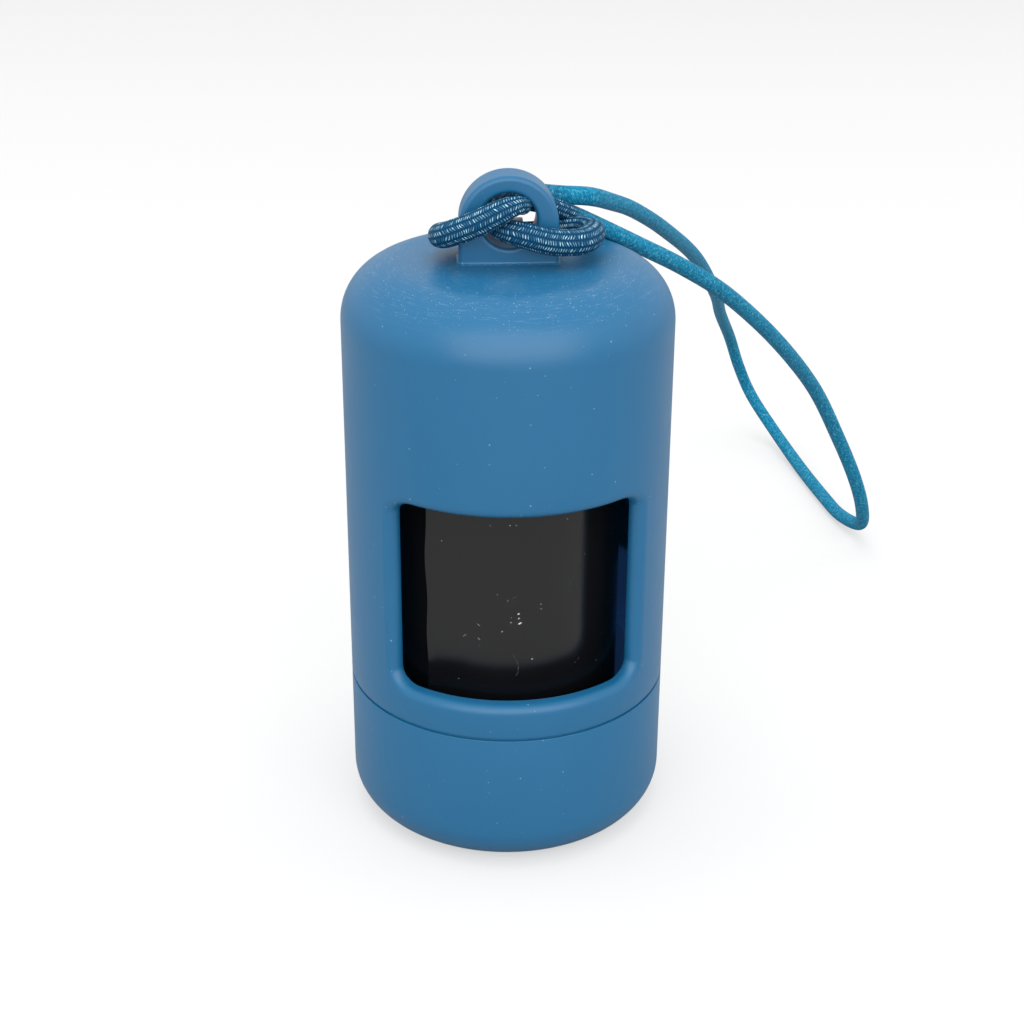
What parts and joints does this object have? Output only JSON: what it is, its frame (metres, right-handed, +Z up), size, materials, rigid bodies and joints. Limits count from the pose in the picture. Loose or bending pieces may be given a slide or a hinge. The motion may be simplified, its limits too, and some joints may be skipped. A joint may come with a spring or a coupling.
{
  "type": "dog waste bag dispenser",
  "caption": "Screw-together pot for a roll of dog waste bags, with a window in its side, an unscrewing base cap and an elastic cord loop hitched through the eye on top.",
  "frame": {"origin": "centre of the cap's flat underside, on the surface that the dispenser stands on", "axes": "+Z up along the pot's axis, the window faces -Y, the cord loop lies to +X and +Y"},
  "size_m": [0.0924, 0.1559, 0.0915],
  "materials": {
    "shell_plastic": "soft-touch matte",
    "cap_plastic": "soft-touch matte",
    "core_paper": "plain",
    "bag_film": "glossy film",
    "cord_braid": "woven",
    "sleeve_plastic": "matte"
  },
  "bodies": {
    "shell": {"upper_shell": "shell_plastic", "elastic_cord": "cord_braid", "splice_sleeve": "sleeve_plastic"},
    "core": {"roll_core": "core_paper"},
    "roll": {"bag_roll": "bag_film"},
    "cap": {"base_cap": "cap_plastic"}
  },
  "joints": [
    {"name": "cap_travel", "type": "slide", "parent": "shell", "child": "core", "axis": [0, 0, -1], "range_m": [0, 0.01]},
    {"name": "cap_turn", "type": "hinge", "parent": "core", "child": "cap", "pos_m": [0, 0, 0], "axis": [0, 0, -1], "range_deg": [0, 900]},
    {"name": "roll_spin", "type": "hinge", "parent": "core", "child": "roll", "pos_m": [0, 0, 0], "axis": [0, 0, 1], "continuous": true}
  ],
  "couplings": [
    {"joint": "cap_travel", "follows": "cap_turn", "m_per_rad": 0.00063662}
  ]
}
